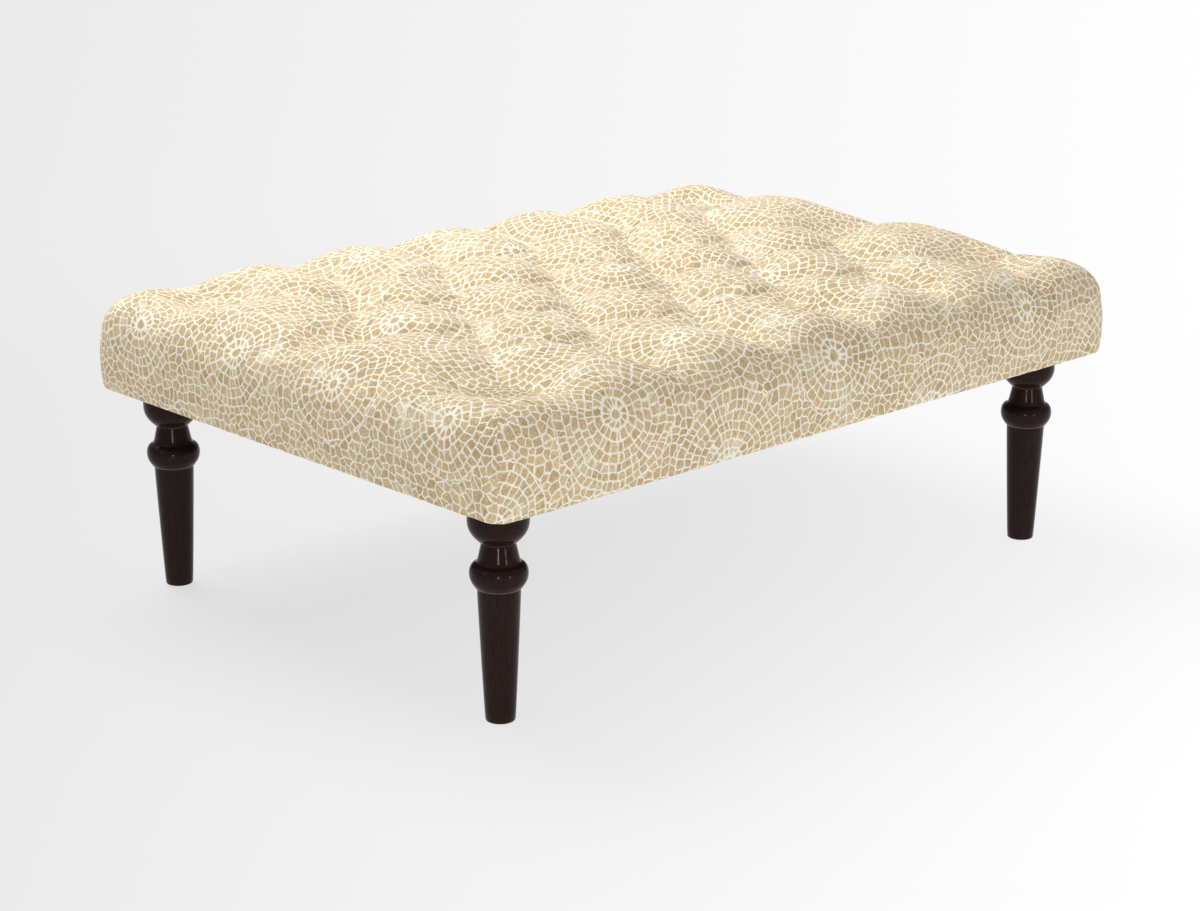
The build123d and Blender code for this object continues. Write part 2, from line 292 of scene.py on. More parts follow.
def crease_and_pucker(places, rings):
    """Small moves: a crease down each corner's middle, and the pull of the staples on the lower edge.

    The pull is a sine round the rim whose pace and strength vary as slower sines.
    """
    moves = np.zeros_like(places)
    corners = np.array([0, ALONG, ALONG + ACROSS, 2 * ALONG + ACROSS])
    steps = np.arange(PERIMETER)
    nearest = np.abs((steps[:, None] - corners + PERIMETER / 2) % PERIMETER - PERIMETER / 2).min(1)
    crease = np.where(nearest == 0, -CREASE_DEPTH, np.where(nearest == 1, CREASE_RIDGE, 0.0))
    pucker = PUCKER * np.sin(steps * 1.37 + 1.3 * np.sin(steps * 0.31)) * (0.6 + 0.4 * np.sin(steps * 0.117))
    for ring_places in rings[1:-1]:
        height = places[ring_places[0], 2]
        creased = crease * smooth(CREASE_TOP - height, 0.0, CREASE_FADE)
        pulled = pucker * smooth(PUCKER_TOP - height, 0.0, PUCKER_FADE)
        moves[ring_places, :2] += outward(places[ring_places], CORNER) * (creased + pulled)[:, None]
    return moves


def side_cloth(insets, radii, lengths, level):
    """Cloth coordinates of the four corners of each face between two rings.

    Along the side they pass from the rim's own places to even steps over CLOTH_EASE.
    """
    strips = []
    for side in range(4):
        count = (ALONG, ACROSS)[side % 2]
        half_along = (HALF_LENGTH, HALF_WIDTH)[side % 2]
        half_off = (HALF_WIDTH, HALF_LENGTH)[side % 2]
        rim_along, rim_off, _ = run_of(half_along - insets[0], half_off - insets[0], radii[0], count)
        both = []
        for place in (level, level + 1):
            _, _, run = run_of(half_along - insets[place], half_off - insets[place], radii[place], count)
            share = smooth(lengths[place], 0.0, CLOTH_EASE)
            along = rim_along + (run - rim_along) * share
            off = rim_off + (half_off - insets[0] - rim_off) * share + lengths[place]
            both.append(np.stack(turn(side, along, off), -1))
        near, far = both
        strips.append(np.stack([near[:-1], far[:-1], far[1:], near[1:]], 1))
    return np.concatenate(strips)


def mesh_piece(name, places, faces, cloth=None):
    """A mesh object from arrays of places and faces, with its cloth coordinates as a UV map."""
    mesh = bpy.data.meshes.new(name)
    mesh.from_pydata(places.tolist(), [], faces if isinstance(faces, list) else faces.tolist())
    if cloth is not None:
        layer = mesh.uv_layers.new(name="cloth")
        layer.data.foreach_set("uv", np.asarray(cloth, np.float32).ravel())
    mesh.update()
    piece = bpy.data.objects.new(name, mesh)
    bpy.context.scene.collection.objects.link(piece)
    return piece


def places_of(mesh):
    """The mesh's vertices as an array."""
    flat = np.empty(len(mesh.vertices) * 3, np.float32)
    mesh.vertices.foreach_get("co", flat)
    return flat.reshape(-1, 3).astype(float)


def settle_cloth(sheet, rest, held):
    """Lets the cloth swell and wrinkle between the held places, by MOST_SWELL at the most."""
    group = sheet.vertex_groups.new(name="held")
    for level in range(1, 11):
        chosen = np.flatnonzero(np.round(held * 10) == level)
        if len(chosen):
            group.add(chosen.tolist(), level / 10, "REPLACE")
    swell = sheet.modifiers.new("swell", "CLOTH")
    swell.settings.quality = 5
    swell.settings.mass = 0.25
    swell.settings.tension_stiffness = 20
    swell.settings.compression_stiffness = 20
    swell.settings.shear_stiffness = 8
    swell.settings.bending_stiffness = 0.4
    swell.settings.shrink_min = -0.02
    swell.settings.use_pressure = True
    swell.settings.uniform_pressure_force = 4
    swell.settings.effector_weights.gravity = 0
    swell.settings.vertex_group_mass = "held"
    swell.settings.pin_stiffness = 1.5
    swell.collision_settings.use_collision = False
    swell.point_cache.frame_start = 1
    swell.point_cache.frame_end = SETTLE_FRAMES
    for step in range(1, SETTLE_FRAMES + 1):
        bpy.context.scene.frame_set(step)
    graph = bpy.context.evaluated_depsgraph_get()
    moved = places_of(sheet.evaluated_get(graph).data) - rest
    far = np.linalg.norm(moved, axis=1, keepdims=True)
    moved *= np.minimum(1, MOST_SWELL / np.maximum(far, 1e-9))
    sheet.modifiers.remove(swell)
    sheet.vertex_groups.remove(group)
    bpy.context.scene.frame_set(1)
    sheet.data.vertices.foreach_set("co", (rest + moved).astype(np.float32).ravel())
    sheet.data.update()


def bake_modifiers(piece):
    """Replaces the piece's mesh by what its modifiers make of it."""
    graph = bpy.context.evaluated_depsgraph_get()
    made = bpy.data.meshes.new_from_object(piece.evaluated_get(graph), depsgraph=graph)
    made.name = piece.name
    piece.modifiers.clear()
    piece.data = made


def lean(places):
    """The cushion's front is a little fuller and its back a little lower, as upholstered by hand."""
    x, y, z = places.T
    moved = places.copy()
    moved[:, 1] -= FRONT_FULLER * smooth(-y, *FRONT_FADE)
    middle = smooth(x, *LEFT_FADE) * smooth(-x, *RIGHT_FADE)
    moved[:, 2] -= BACK_LOWER * middle * smooth(y, *BACK_FADE) * smooth(z, SIDE_LINE, CREST)
    return moved


def make_cushion():
    """The upholstered top: tufted outside, turned-in edge and the hollow over the foam."""
    places, faces, cloth = cloth_sheet()
    places = lean(places)
    sheet = mesh_piece("sheet", places, faces, cloth)
    pits = smooth(fold_share(places[:, 0], places[:, 1]), *HELD_FOLD_SHARES)
    pits *= smooth(inward(places[:, 0], places[:, 1]), *HELD_INWARD)
    sides = 1 - smooth(places[:, 2], *HELD_HEIGHTS)
    settle_cloth(sheet, places, np.maximum(pits, sides))
    finer = sheet.modifiers.new("finer", "SUBSURF")
    finer.levels = 1
    finer.render_levels = 1
    finer.boundary_smooth = "PRESERVE_CORNERS"
    bake_modifiers(sheet)
    return close_below(sheet)


def close_below(sheet):
    """The same piece with its turned-in cloth and the hollow over the foam, which ends in one flat face."""
    mesh = sheet.data
    places = places_of(mesh)
    faces = np.empty(len(mesh.loops), np.int32)
    mesh.loops.foreach_get("vertex_index", faces)
    cloth = np.empty(len(mesh.loops) * 2, np.float32)
    mesh.uv_layers["cloth"].data.foreach_get("uv", cloth)
    faces = faces.reshape(-1, 4)
    borders = np.concatenate([faces[:, [corner, (corner + 1) % 4]] for corner in range(4)])
    borders, uses = np.unique(np.sort(borders, axis=1), axis=0, return_counts=True)
    edge = np.unique(borders[uses == 1])
    edge = edge[np.argsort(np.arctan2(places[edge, 1], places[edge, 0]))]
    start = places[edge]
    out = outward(start, TURNED_CORNER)
    added = []
    loops = [edge]
    for inset, height in HOLLOW:
        plan = start[:, :2] - out * (inset - ROUNDED_UNDER[-1][0])
        added.append(np.column_stack([plan, np.full(len(edge), height)]))
        loops.append(len(places) + len(edge) * (len(loops) - 1) + np.arange(len(edge)))
    places = np.vstack([places] + added)
    walls = np.vstack([quads_between(inner, outer) for inner, outer in zip(loops, loops[1:])])
    ceiling = loops[-1][::-1]
    cloth = np.concatenate([cloth.reshape(-1, 2), places[walls.ravel(), :2], places[ceiling, :2]])
    bpy.data.objects.remove(sheet)
    return mesh_piece("tufted_cover", places, faces.tolist() + walls.tolist() + [ceiling.tolist()], cloth)


# Where the ottoman is looked at from, and the ways ahead and to the right, found from the photograph
EYE = (-2.6730, -2.8232, 1.3636)
AHEAD = (0.6543, 0.6964, -0.2949)
RIGHT = (0.7286, -0.6849, 0.0)
LENS = 82.35


def make_camera():
    """The camera at the eye, with no tilt to the side."""
    camera = bpy.data.objects.new("camera", bpy.data.cameras.new("camera"))
    bpy.context.scene.collection.objects.link(camera)
    camera.data.sensor_width = 36
    camera.data.sensor_fit = "HORIZONTAL"
    camera.data.lens = LENS
    camera.data.clip_end = 100
    camera.location = EYE
    camera.rotation_euler = Vector(AHEAD).to_track_quat("-Z", "Y").to_euler()
    bpy.context.scene.camera = camera


class Finish:
    """A node material with short calls for its sums."""

    def __init__(self, name):
        self.material = bpy.data.materials.new(name)
        self.material.use_nodes = True
        self.tree = self.material.node_tree
        self.tree.nodes.clear()
        self.output = self.tree.nodes.new("ShaderNodeOutputMaterial")
        self.shader = self.tree.nodes.new("ShaderNodeBsdfPrincipled")
        self.tree.links.new(self.shader.outputs[0], self.output.inputs[0])

    def put(self, socket, value):
        """Links a socket, or sets it where the value is plain."""
        if isinstance(value, bpy.types.NodeSocket):
            self.tree.links.new(value, socket)
        elif value is not None:
            socket.default_value = value

    def node(self, kind, inputs=None, **settings):
        """A node with its settings, and then its inputs by name or number."""
        made = self.tree.nodes.new(kind)
        for name, value in settings.items():
            setattr(made, name, value)
        for name, value in (inputs or {}).items():
            self.put(made.inputs[name], value)
        return made

    def sum(self, operation, first, second=None, third=None, clamp=False):
        """One sum of the Math node."""
        made = self.node("ShaderNodeMath", {0: first, 1: second, 2: third}, operation=operation)
        made.use_clamp = clamp
        return made.outputs[0]

    def vector(self, operation, first, second=None, scale=None):
        """One sum of the Vector Math node."""
        made = self.node("ShaderNodeVectorMath", {0: first, 1: second}, operation=operation)
        self.put(made.inputs[3], scale)
        return made.outputs["Value"] if operation in ("LENGTH", "DOT_PRODUCT") else made.outputs[0]

    def ramp(self, value, low, high, to_low=0.0, to_high=1.0):
        """Smooth step from to_low, where the value is low, to to_high."""
        made = self.node("ShaderNodeMapRange", {"Value": value, "From Min": low, "From Max": high,
                                                "To Min": to_low, "To Max": to_high})
        made.interpolation_type = "SMOOTHSTEP"
        return made.outputs[0]

    def to_ends(self, share):
        """Distance of a share from 0 or 1, whichever is nearer."""
        return self.sum("MINIMUM", share, self.sum("SUBTRACT", 1.0, share))

    def off(self, value, middle):
        """Distance of a value from a middle."""
        return self.sum("ABSOLUTE", self.sum("SUBTRACT", value, middle))

    def noise(self, vector, scale, detail=2.0, roughness=0.5, output=0):
        """Noise from 0 to 1, or its three channels as output 1."""
        made = self.node("ShaderNodeTexNoise", {"Vector": vector, "Scale": scale, "Detail": detail,
                                                "Roughness": roughness})
        return made.outputs[output]

    def shift(self, vector, size, reach):
        """A flat shift by noise of this size, by up to half the reach each way."""
        swing = self.vector("SUBTRACT", self.noise(vector, 1 / size, 1, output=1), (0.5, 0.5, 0.5))
        return self.vector("MULTIPLY", swing, (reach, reach, 0))

    def cells(self, inputs, dimensions):
        """Voronoi cells: the distance to the nearest border, and each cell's colour by chance."""
        borders = self.node("ShaderNodeTexVoronoi", inputs, voronoi_dimensions=dimensions,
                            feature="DISTANCE_TO_EDGE")
        colours = self.node("ShaderNodeTexVoronoi", inputs, voronoi_dimensions=dimensions)
        return borders.outputs["Distance"], colours.outputs["Color"]

    def channels(self, vector):
        """The three parts of a vector."""
        return self.node("ShaderNodeSeparateXYZ", {0: vector}).outputs

    def blend(self, share, first, second):
        """The first colour, or the second where share is 1."""
        made = self.node("ShaderNodeMix", data_type="RGBA")
        self.put(made.inputs["Factor"], share)
        self.put(made.inputs[6], first)
        self.put(made.inputs[7], second)
        return made.outputs[2]

    def choose(self, share, first, second):
        """The first vector, or the second where share is 1."""
        made = self.node("ShaderNodeMix", data_type="VECTOR")
        self.put(made.inputs[0], share)
        self.put(made.inputs[4], first)
        self.put(made.inputs[5], second)
        return made.outputs[1]

    def coordinates(self):
        """Places in the piece's own frame, in metres."""
        return self.node("ShaderNodeTexCoord").outputs["Object"]

    def bump(self, height, distance, strength=1.0):
        """A normal from a height."""
        made = self.node("ShaderNodeBump", {"Height": height, "Distance": distance, "Strength": strength})
        return made.outputs[0]

    def surface(self, **values):
        """Sets the shader's sockets, names with _ for a space."""
        for name, value in values.items():
            self.put(self.shader.inputs[name.replace("_", " ")], value)
        return self.material


def shade(red, green, blue):
    """A colour given as the eye's 0 to 255 values, as light."""
    linear = [((c / 255 + 0.055) / 1.055) ** 2.4 if c > 10 else c / 255 / 12.92 for c in (red, green, blue)]
    return (*linear, 1.0)


# Print of the cloth in millimetres. Roundels stand on two grids, the second half a step along and across.
# A roundel has a disc, petals out to their reach, and rings of tiles a step apart.
REPEAT_X = 408.0
REPEAT_Y = 218.0
SHIFT_Y = -10.0
DISC = 8.0
DISC_RIM = 11.0
PETAL_REACH = 22.0
RING_STEP = 13.0
GROUT_STEP = 13.3
TILE_LENGTH = 12.0
FEWEST_TILES = 12.0
TILE_ROUNDING = 2.4

# Weave of the cloth in millimetres: its slant, its slubs and its threads
WEAVE_SLANT = 0.87
SLUB_LENGTH = 17
SLUB_WIDTH = 1.7
THREAD_PITCH = 1.4


def nearest_roundel(cloth, place):
    """The arm from the nearest roundel's middle, its length, the roundel's chance and the way to its border.

    The border lies half-way to the next roundel of either grid.
    """
    grid = (REPEAT_X, REPEAT_Y, 1)
    arms = []
    numbers = []
    for start in ((0, SHIFT_Y, 0), (REPEAT_X / 2, SHIFT_Y - REPEAT_Y / 2, 0)):
        steps = cloth.vector("DIVIDE", cloth.vector("SUBTRACT", place, start), grid)
        number = cloth.vector("FLOOR", cloth.vector("ADD", steps, (0.5, 0.5, 0)))
        arms.append(cloth.vector("MULTIPLY", cloth.vector("SUBTRACT", steps, number), grid))
        numbers.append(cloth.vector("ADD", number, start))
    lengths = [cloth.vector("LENGTH", arm) for arm in arms]
    second = cloth.sum("LESS_THAN", lengths[1], lengths[0])
    arm = cloth.channels(cloth.choose(second, *arms))
    chance = cloth.node("ShaderNodeTexWhiteNoise", {"Vector": cloth.choose(second, *numbers)},
                        noise_dimensions="2D").outputs["Value"]
    to_other_grid = cloth.sum("MULTIPLY", cloth.off(*lengths), 0.5)
    to_next = cloth.sum("SUBTRACT", REPEAT_Y / 2, cloth.sum("ABSOLUTE", arm[1]))
    return arm, cloth.sum("MINIMUM", *lengths), chance, cloth.sum("MINIMUM", to_other_grid, to_next)


def ring_tiles(cloth, arm, radius, chance, to_border):
    """How far each place of a ring lies inside its tile, and the tile's colour by chance.

    The course is a ring's number: -1 in the disc and 0 in the petals. A ring is cut into tiles by a
    one-dimensional Voronoi along its length, and by a seam where its two ends meet.
    """
    petals = cloth.sum("DIVIDE", cloth.sum("SUBTRACT", radius, DISC), PETAL_REACH - DISC)
    rings = cloth.sum("ADD", cloth.sum("DIVIDE", cloth.sum("SUBTRACT", radius, PETAL_REACH), RING_STEP), 1.0)
    level = cloth.sum("MAXIMUM", petals, rings)
    course = cloth.sum("FLOOR", level)
    to_ring = cloth.sum("MULTIPLY", cloth.to_ends(cloth.sum("SUBTRACT", level, course)), GROUT_STEP)

    angle = cloth.sum("DIVIDE", cloth.sum("ARCTAN2", arm[1], arm[0]), 2 * math.pi)
    start = cloth.sum("MULTIPLY", course, 0.37)
    turned = cloth.sum("FRACT", cloth.sum("ADD", cloth.sum("ADD", angle, chance), start))
    first_girth = (PETAL_REACH - RING_STEP / 2) * 2 * math.pi
    girth = cloth.sum("MULTIPLY_ADD", course, RING_STEP * 2 * math.pi, first_girth)
    tiles = cloth.sum("MAXIMUM", cloth.sum("DIVIDE", girth, TILE_LENGTH), FEWEST_TILES)
    own_start = cloth.sum("MULTIPLY_ADD", course, 57.3, cloth.sum("MULTIPLY", chance, 311.0))
    run = cloth.sum("ADD", cloth.sum("MULTIPLY", turned, tiles), own_start)
    uneven = cloth.sum("MULTIPLY", cloth.sum("GREATER_THAN", course, 0.5), 0.85)
    cuts, colour = cloth.cells({"W": run, "Scale": 1.0, "Randomness": uneven}, "1D")

    in_disc = cloth.sum("MULTIPLY", cloth.sum("LESS_THAN", course, -0.5), 20.0)
    tile_length = cloth.sum("DIVIDE", cloth.sum("MULTIPLY", radius, 2 * math.pi), tiles)
    to_cut = cloth.sum("MULTIPLY_ADD", cuts, tile_length, in_disc)
    seam = cloth.sum("MULTIPLY", cloth.to_ends(turned), 2 * math.pi)
    to_seam = cloth.sum("MULTIPLY_ADD", seam, radius, in_disc)
    tile = cloth.sum("SMOOTH_MIN", to_ring, cloth.sum("MINIMUM", to_cut, to_seam), TILE_ROUNDING)
    return cloth.sum("SMOOTH_MIN", tile, to_border, TILE_ROUNDING), colour


def loose_tiles(cloth, place, radius, chance):
    """The same for the tiles between the roundels, a flat Voronoi, and 1 past a roundel's last ring."""
    borders, colour = cloth.cells({"Vector": place, "Scale": 1 / RING_STEP, "Randomness": 0.8}, "2D")
    courses = cloth.sum("ADD", cloth.sum("FLOOR", cloth.sum("MULTIPLY", chance, 3.0)), 4.0)
    past = cloth.sum("SUBTRACT", radius, cloth.sum("MULTIPLY_ADD", courses, RING_STEP, PETAL_REACH))
    tile = cloth.sum("SMOOTH_MIN", cloth.sum("MULTIPLY", borders, RING_STEP), past, 1.5)
    return tile, colour, cloth.sum("GREATER_THAN", past, 0.0)


def tile_tan(cloth, flat, chances, slub):
    """Tans that differ from tile to tile, darker in broad patches, mottled, and worn to the pale ground."""
    tan = cloth.blend(cloth.ramp(chances[0], 0.1, 0.9), shade(202, 177, 134), shade(217, 193, 152))
    tan = cloth.blend(cloth.ramp(chances[1], 0.6, 1.0, 0.0, 0.4), tan, shade(206, 190, 138))
    tan = cloth.blend(cloth.ramp(chances[2], 0.55, 1.0, 0.0, 0.4), tan, shade(214, 180, 142))
    tan = cloth.blend(cloth.ramp(chances[2], 0.35, 0.0, 0.0, 0.55), tan, shade(184, 158, 114))
    broad = cloth.noise(flat, 1 / 120, 2)
    tan = cloth.blend(cloth.ramp(broad, 0.5, 0.68, 0.0, 0.5), tan, shade(186, 160, 116))
    mottle = cloth.noise(flat, 1 / 3.6, 2)
    tan = cloth.vector("SCALE", tan, scale=cloth.ramp(mottle, 0.25, 0.75, 0.82, 1.17))
    patches = cloth.ramp(cloth.noise(cloth.vector("ADD", flat, (431, 87, 0)), 1 / 70, 3), 0.55, 0.72)
    threadbare = cloth.sum("MULTIPLY_ADD", cloth.noise(flat, 1 / 1.6, 1), 0.5, slub)
    worn = cloth.sum("MULTIPLY", patches, cloth.ramp(threadbare, 1.05, 1.45, 0.12, 0.8))
    bare = cloth.sum("MULTIPLY", cloth.ramp(threadbare, 1.35, 1.6), 0.35)
    return cloth.blend(cloth.sum("MAXIMUM", worn, bare), tan, shade(238, 231, 208))


def mosaic_finish():
    """Printed linen: rings of small tiles round each roundel's middle, with loose tiles between.

    The print lies on cloth coordinates in millimetres, which two noises shift a little. The ground is
    pale between the tiles, wider round a disc and its petals.
    """
    cloth = Finish("mosaic_cloth")
    flat = cloth.vector("MULTIPLY", cloth.node("ShaderNodeUVMap", uv_map="cloth").outputs[0], (1000, 1000, 0))
    swayed = cloth.vector("ADD", flat, cloth.shift(flat, 40, 16))
    place = cloth.vector("ADD", swayed, cloth.shift(flat, 9, 3.6))
    arm, radius, chance, to_border = nearest_roundel(cloth, place)
    ring_tile, ring_colour = ring_tiles(cloth, arm, radius, chance, to_border)
    loose_tile, loose_colour, is_loose = loose_tiles(cloth, place, radius, chance)
    inside = cloth.node("ShaderNodeMix", {0: is_loose, 2: ring_tile, 3: loose_tile}).outputs[0]
    tile_colour = cloth.blend(is_loose, ring_colour, loose_colour)
    chances = cloth.node("ShaderNodeSeparateColor", {0: tile_colour}).outputs

    by_disc = cloth.ramp(cloth.off(radius, DISC_RIM), 1.0, 5.0, -1.1, 0.0)
    by_petals = cloth.ramp(cloth.off(radius, PETAL_REACH), 1.0, 5.0, -0.5, 0.0)
    rough_edge = cloth.sum("MULTIPLY_ADD", cloth.noise(flat, 1 / 2.2, 1), 1.5, -0.75)
    rough_edge = cloth.sum("ADD", rough_edge, cloth.sum("ADD", by_disc, by_petals))
    tile = cloth.ramp(cloth.sum("ADD", inside, rough_edge), 0.2, 1.95)

    slanted = cloth.node("ShaderNodeMapping", {"Vector": flat, "Rotation": (0, 0, WEAVE_SLANT)}).outputs[0]
    along, across = 1 / SLUB_LENGTH, 1 / SLUB_WIDTH
    slub_along = cloth.noise(cloth.vector("MULTIPLY", slanted, (along, across, 0)), 1.0, 1)
    slub_across = cloth.noise(cloth.vector("MULTIPLY", slanted, (across, along, 0)), 1.0, 1)
    slub = cloth.sum("ADD", slub_along, slub_across)
    threads = cloth.channels(slanted)
    warp = cloth.sum("SINE", cloth.sum("MULTIPLY", threads[0], 2 * math.pi / THREAD_PITCH))
    weft = cloth.sum("SINE", cloth.sum("MULTIPLY", threads[1], 2 * math.pi / THREAD_PITCH))
    weave = cloth.sum("MULTIPLY", warp, weft)

    colour = cloth.blend(tile, shade(249, 244, 227), tile_tan(cloth, flat, chances, slub))
    lit = cloth.sum("MULTIPLY_ADD", weave, 0.03, cloth.sum("MULTIPLY_ADD", slub, 0.44, 0.57))
    colour = cloth.vector("SCALE", colour, scale=lit)
    normal = cloth.bump(cloth.sum("MULTIPLY_ADD", weave, 0.5, slub), 0.0004, 0.6)
    return cloth.surface(Base_Color=colour, Roughness=0.88, Sheen_Weight=0.15, Sheen_Roughness=0.5,
                         Specular_IOR_Level=0.25, Normal=normal)


# Heights of the two edges that carry a painted highlight line, under the ball and under the ring
HIGHLIGHT_RIM_HEIGHTS = (0.2436, 0.1836)


def lacquer_finish():
    """Near-black brown lacquer over straight-grained wood, with a painted highlight line on two rims."""
    wood = Finish("espresso_lacquer")
    place = wood.coordinates()
    grain = wood.noise(wood.vector("MULTIPLY", place, (900, 900, 14)), 1.0, 3)
    pores = wood.noise(wood.vector("MULTIPLY", place, (2600, 2600, 40)), 1.0, 1)
    lines = wood.ramp(wood.sum("MULTIPLY_ADD", pores, 0.4, grain), 0.5, 0.85)
    colour = wood.blend(lines, shade(27, 16, 13), shade(43, 27, 22))
    height = wood.channels(place)[2]
    # Painted highlight: paler bands at these two heights stand in for light caught on the edges under the
    # ball and under the ring
    painted_highlights = [wood.ramp(wood.off(height, rim), 0.0004, 0.0011, 0.75, 0.0) for rim in HIGHLIGHT_RIM_HEIGHTS]
    colour = wood.blend(wood.sum("ADD", painted_highlights[0], painted_highlights[1], clamp=True), colour, shade(112, 96, 88))
    wear = wood.noise(place, 60, 3)
    rough = wood.ramp(wear, 0.3, 0.7, 0.13, 0.18)
    return wood.surface(Base_Color=colour, Roughness=rough, Specular_IOR_Level=0.1,
                        Normal=wood.bump(lines, 0.00003, 0.12))


def sawn_wood_finish(name, pale, dark, along):
    """Planed wood with growth lines along one axis, which is 0, 1 or 2."""
    wood = Finish(name)
    place = wood.coordinates()
    stretch = [60.0, 60.0, 60.0]
    stretch[along] = 3.0
    grain = wood.noise(wood.vector("MULTIPLY", place, tuple(stretch)), 1.0, 4)
    fine = [900.0, 900.0, 900.0]
    fine[along] = 20.0
    pores = wood.noise(wood.vector("MULTIPLY", place, tuple(fine)), 1.0, 1)
    colour = wood.blend(wood.ramp(grain, 0.35, 0.7), shade(*dark), shade(*pale))
    colour = wood.blend(wood.ramp(pores, 0.6, 0.8, 0.0, 0.4), colour, shade(*dark))
    return wood.surface(Base_Color=colour, Roughness=0.7, Normal=wood.bump(pores, 0.0001, 0.3))


def foam_finish(name, colour):
    """Open-cell foam: fine pits and a slight yellowing."""
    foam = Finish(name)
    place = foam.coordinates()
    cells = foam.node("ShaderNodeTexVoronoi", {"Vector": place, "Scale": 700.0}).outputs["Distance"]
    old = foam.noise(place, 6, 2)
    tinted = foam.blend(foam.ramp(old, 0.4, 0.7, 0.0, 0.5), shade(*colour), shade(226, 208, 150))
    return foam.surface(Base_Color=tinted, Roughness=0.95, Normal=foam.bump(cells, 0.0006, 0.6))


def twine_finish():
    """Waxed twine with its twist."""
    twine = Finish("waxed_twine")
    place = twine.coordinates()
    twist = twine.node("ShaderNodeTexWave", {"Vector": place, "Scale": 320.0, "Distortion": 1.0},
                       wave_type="BANDS", bands_direction="DIAGONAL").outputs[1]
    colour = twine.blend(twist, shade(214, 204, 178), shade(240, 234, 216))
    return twine.surface(Base_Color=colour, Roughness=0.6, Normal=twine.bump(twist, 0.0003, 0.6))


def steel_finish():
    """Zinc-plated steel, dulled unevenly."""
    steel = Finish("zinc_plate")
    spots = steel.noise(steel.coordinates(), 260, 3)
    colour = steel.blend(steel.ramp(spots, 0.35, 0.65), shade(176, 178, 178), shade(206, 206, 200))
    return steel.surface(Base_Color=colour, Metallic=1.0, Roughness=steel.ramp(spots, 0.3, 0.7, 0.28, 0.45))


def glide_finish():
    """Black moulded plastic, scuffed by the floor."""
    plastic = Finish("glide_plastic")
    scuff = plastic.noise(plastic.coordinates(), 500, 3)
    colour = plastic.blend(plastic.ramp(scuff, 0.5, 0.75), shade(34, 33, 33), shade(74, 72, 70))
    return plastic.surface(Base_Color=colour, Roughness=plastic.ramp(scuff, 0.3, 0.7, 0.4, 0.6),
                           Normal=plastic.bump(scuff, 0.0001, 0.4))


def dust_cloth_finish():
    """Thin black non-woven cloth: pressed fibres in a fine grid of weld dots."""
    felt = Finish("black_dust_cloth")
    place = felt.coordinates()
    fibres = felt.noise(place, 900, 4, 0.7)
    grid = {"Vector": place, "Scale": 420.0, "Randomness": 0.15}
    dots = felt.node("ShaderNodeTexVoronoi", grid).outputs["Distance"]
    colour = felt.blend(felt.ramp(fibres, 0.35, 0.7), shade(30, 30, 31), shade(56, 56, 58))
    height = felt.sum("MULTIPLY_ADD", dots, 0.8, fibres)
    return felt.surface(Base_Color=colour, Roughness=0.95, Sheen_Weight=0.2,
                        Normal=felt.bump(height, 0.0003, 0.6))


# Legs: height over the floor and radius of the turned outline, in millimetres
LEG_OUTLINE = [(2.0, 12.0), (2.0, 17.9), (2.6, 19.1), (4.2, 19.8), (55.8, 22.5), (110.3, 25.1), (165.8, 27.6),
               (181.6, 28.2), (182.4, 28.4), (182.6, 29.6), (183.4, 30.6), (186.0, 32.4), (190.0, 35.1),
               (194.0, 36.8), (198.0, 37.7), (202.0, 38.0), (206.0, 37.7), (210.0, 36.5), (213.2, 34.2),
               (215.2, 31.4), (216.4, 28.7), (218.4, 27.7), (222.0, 26.5), (230.0, 24.8), (238.0, 23.0),
               (242.2, 22.1), (243.0, 22.2), (243.4, 24.0), (244.4, 25.4), (247.0, 28.0), (250.0, 31.0),
               (254.0, 34.3), (258.0, 36.7), (262.0, 38.4), (266.0, 39.4), (270.0, 39.9), (274.0, 40.0),
               (280.0, 39.6), (286.0, 38.1), (291.0, 35.6), (295.0, 32.4), (298.0, 28.6), (300.0, 24.0),
               (300.0, 6.0)]

# Share cut from each corner of the outline, steps of the lathe, and the legs' places in metres
CORNER_CUT = 0.22
LATHE_STEPS = 72
LEG_X = 0.530
LEG_Y = 0.356


def make_legs():
    """Four turned legs: the outline, rounded by two points cut from each corner, revolved round each axis."""
    outline = np.array(LEG_OUTLINE)
    near = outline[:-1] * (1 - CORNER_CUT) + outline[1:] * CORNER_CUT
    far = outline[:-1] * CORNER_CUT + outline[1:] * (1 - CORNER_CUT)
    outline = np.vstack([outline[:1], np.stack([near, far], 1).reshape(-1, 2), outline[-1:]]) / 1000
    turns = np.arange(LATHE_STEPS) * 2 * math.pi / LATHE_STEPS
    count = len(outline)
    sides = count * LATHE_STEPS
    places = []
    faces = []
    for x, y in ((-LEG_X, -LEG_Y), (LEG_X, -LEG_Y), (-LEG_X, LEG_Y), (LEG_X, LEG_Y)):
        start = len(places) * (sides + 2)
        body = np.stack([x + outline[:, 1, None] * np.cos(turns), y + outline[:, 1, None] * np.sin(turns),
                         np.repeat(outline[:, :1], LATHE_STEPS, axis=1)], -1).reshape(-1, 3)
        places.append(np.vstack([body, [[x, y, outline[0, 0]], [x, y, outline[-1, 0]]]]))
        grid = start + np.arange(sides).reshape(count, LATHE_STEPS)
        beside = np.roll(grid, -1, axis=1)
        faces += np.stack([grid[:-1], beside[:-1], beside[1:], grid[1:]], -1).reshape(-1, 4).tolist()
        faces += np.stack([beside[0], grid[0], np.full(LATHE_STEPS, start + sides)], -1).tolist()
        faces += np.stack([grid[-1], beside[-1], np.full(LATHE_STEPS, start + sides + 1)], -1).tolist()
    return mesh_piece("turned_legs", np.vstack(places), faces)


